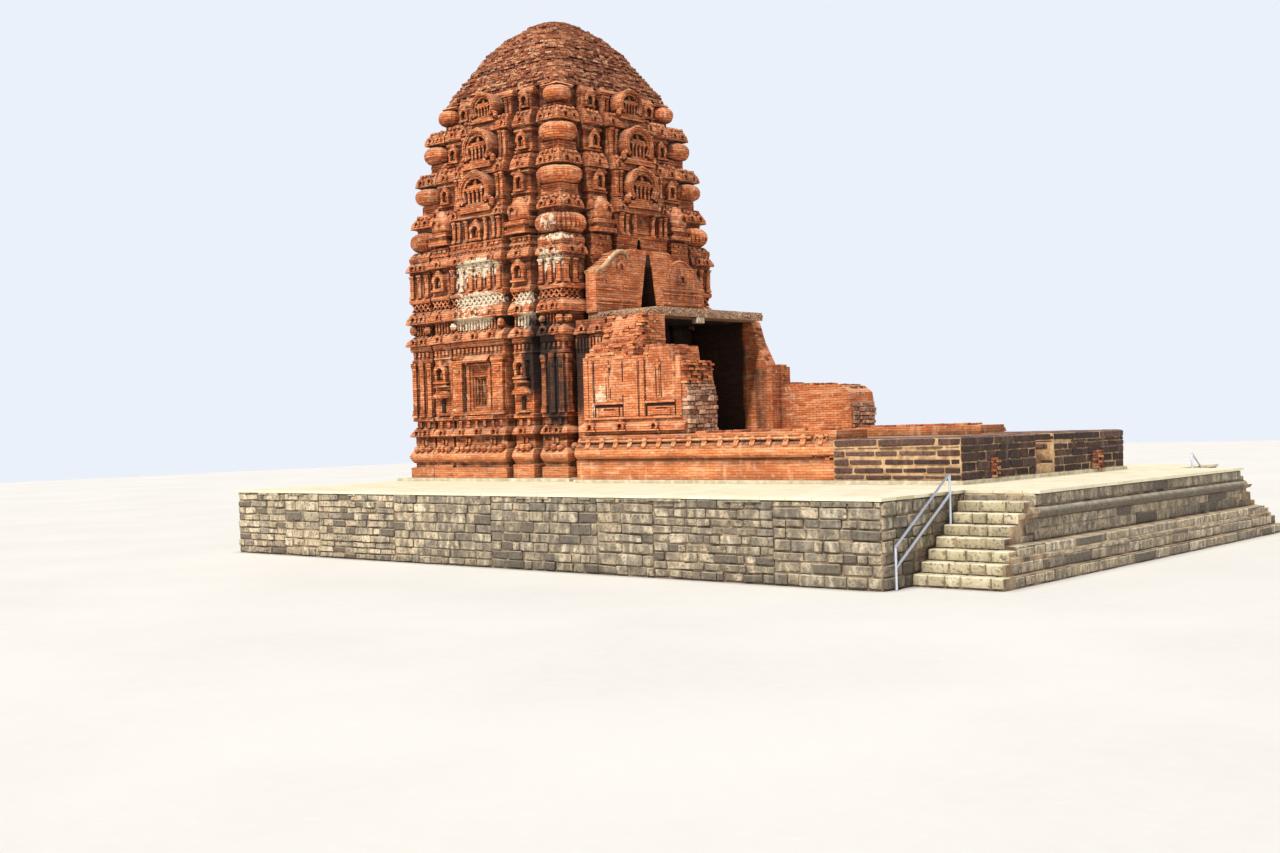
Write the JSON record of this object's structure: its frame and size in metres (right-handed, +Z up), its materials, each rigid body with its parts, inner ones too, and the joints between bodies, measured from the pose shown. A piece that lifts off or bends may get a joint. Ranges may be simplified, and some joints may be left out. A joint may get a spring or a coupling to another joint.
{
  "type": "hindu temple",
  "caption": "Brick tower temple with a rubble dome, a slit gable over its porch and the ruined plinth and walls of its hall, on a stone platform with side stairs.",
  "frame": {"origin": "ground level under the middle of the tower", "axes": "+X from the tower along the hall to its front, +Y north, +Z up"},
  "size_m": [22.72, 16.916, 15.5803],
  "materials": {
    "brick": "old fired red brick",
    "weathered_brick": "bare rubble brick",
    "grey_stone": "rough grey stone blocks",
    "pale_stone": "pale paving stone",
    "dark_stone": "dark stone blocks in pale mortar",
    "slab": "rough cast slab",
    "door_stone": "dark worn stone",
    "steel": "satin steel tube"
  },
  "bodies": {
    "root": {"platform_body": "grey_stone", "platform_terrace": "grey_stone", "platform_paving": "pale_stone", "south_stair": "pale_stone", "north_stair": "pale_stone", "south_handrail": "steel", "north_handrail": "steel", "footing_course": "pale_stone", "tower_plinth": "brick", "sanctum_wall_south": "brick", "sanctum_wall_north": "brick", "sanctum_wall_west": "brick", "east_wall_south_of_door": "brick", "east_wall_north_of_door": "brick", "east_wall_over_door": "brick", "blind_window_south": "brick", "blind_window_north": "brick", "blind_window_west": "brick", "door_sill": "door_stone", "door_jamb_south": "door_stone", "door_jamb_north": "door_stone", "door_lintel": "door_stone", "lower_wall_cornice": "brick", "upper_wall_cornice": "brick", "first_storey": "brick", "second_storey": "brick", "third_storey": "brick", "fourth_storey": "brick", "fifth_storey": "brick", "slit_gable_wall": "brick", "tower_crown": "weathered_brick", "hall_plinth_south": "brick", "hall_plinth_north": "brick", "stone_plinth_south": "dark_stone", "stone_plinth_north": "dark_stone", "hall_floor": "pale_stone", "entrance_steps": "pale_stone", "hall_wall_south": "brick", "hall_wall_north": "brick", "hall_low_wall_north": "brick", "porch_wall_south": "brick", "porch_wall_north": "brick", "porch_roof_slab": "slab"}
  },
  "joints": []
}
